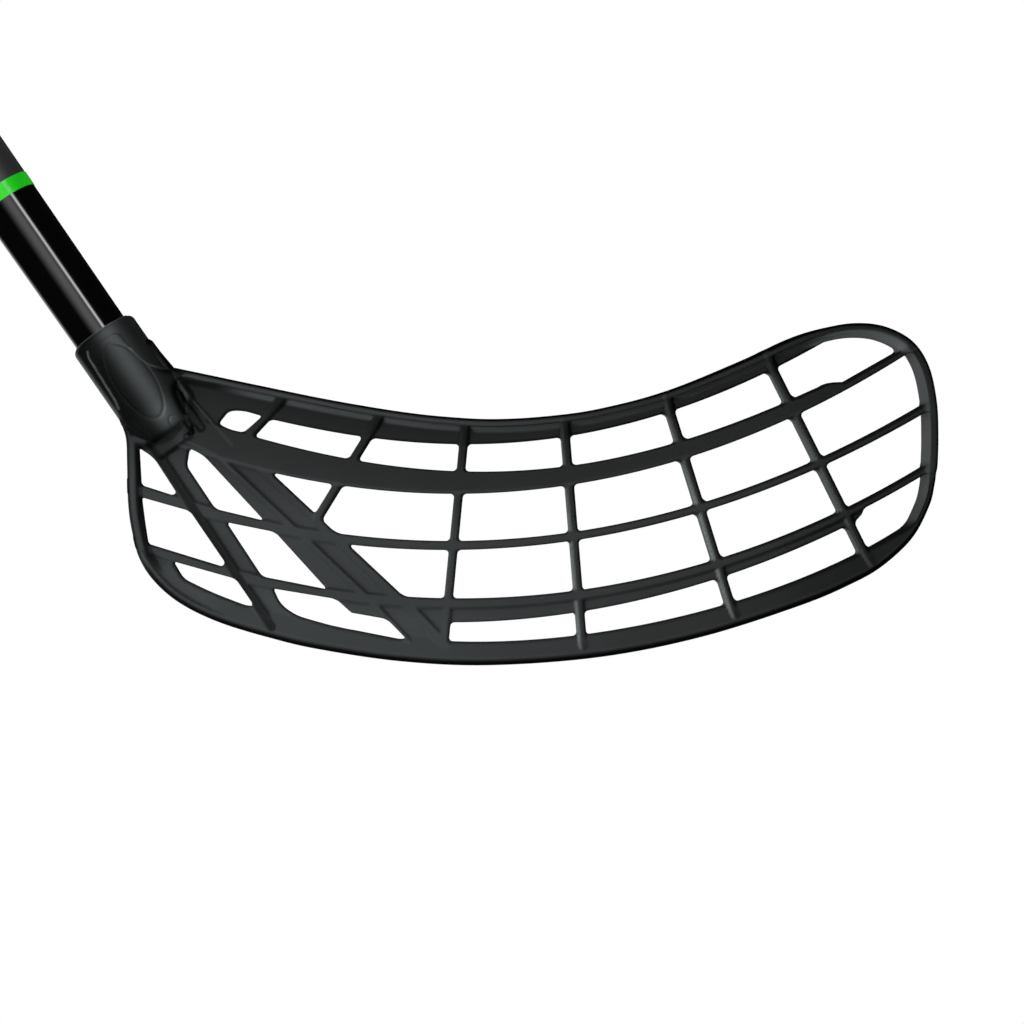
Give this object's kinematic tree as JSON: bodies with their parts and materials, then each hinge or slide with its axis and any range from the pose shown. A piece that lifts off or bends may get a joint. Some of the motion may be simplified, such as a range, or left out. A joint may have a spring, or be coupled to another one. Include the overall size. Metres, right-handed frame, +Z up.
{
  "type": "floorball stick",
  "caption": "Floorball stick: tapered hollow shaft with a taped grip and butt cap, screwed into the moulded socket of a bent, open lattice blade.",
  "frame": {"origin": "centre of the tube's butt end, on the shaft's axis", "axes": "+Z up in playing pose, +X along the blade from heel to toe, +Y away from the face of the blade that the picture shows; the shaft leans in the XZ plane"},
  "size_m": [0.809, 0.041, 0.8732],
  "materials": {
    "blade_plastic": "satin injection moulding",
    "screw_steel": "plain zinc",
    "shaft_composite": "gloss lacquer below the band, satin above it",
    "band_film": "gloss film",
    "grip_tape": "soft cushioned tape",
    "finishing_tape": "smooth electrical tape",
    "cap_plastic": "matte"
  },
  "bodies": {
    "root": {"blade": "blade_plastic", "blade_screw_upper": "screw_steel", "blade_screw_lower": "screw_steel", "shaft": "shaft_composite", "shaft_band": "band_film", "grip_wrap": "grip_tape", "grip_finishing_tape": "finishing_tape", "end_cap": "cap_plastic"}
  },
  "joints": []
}
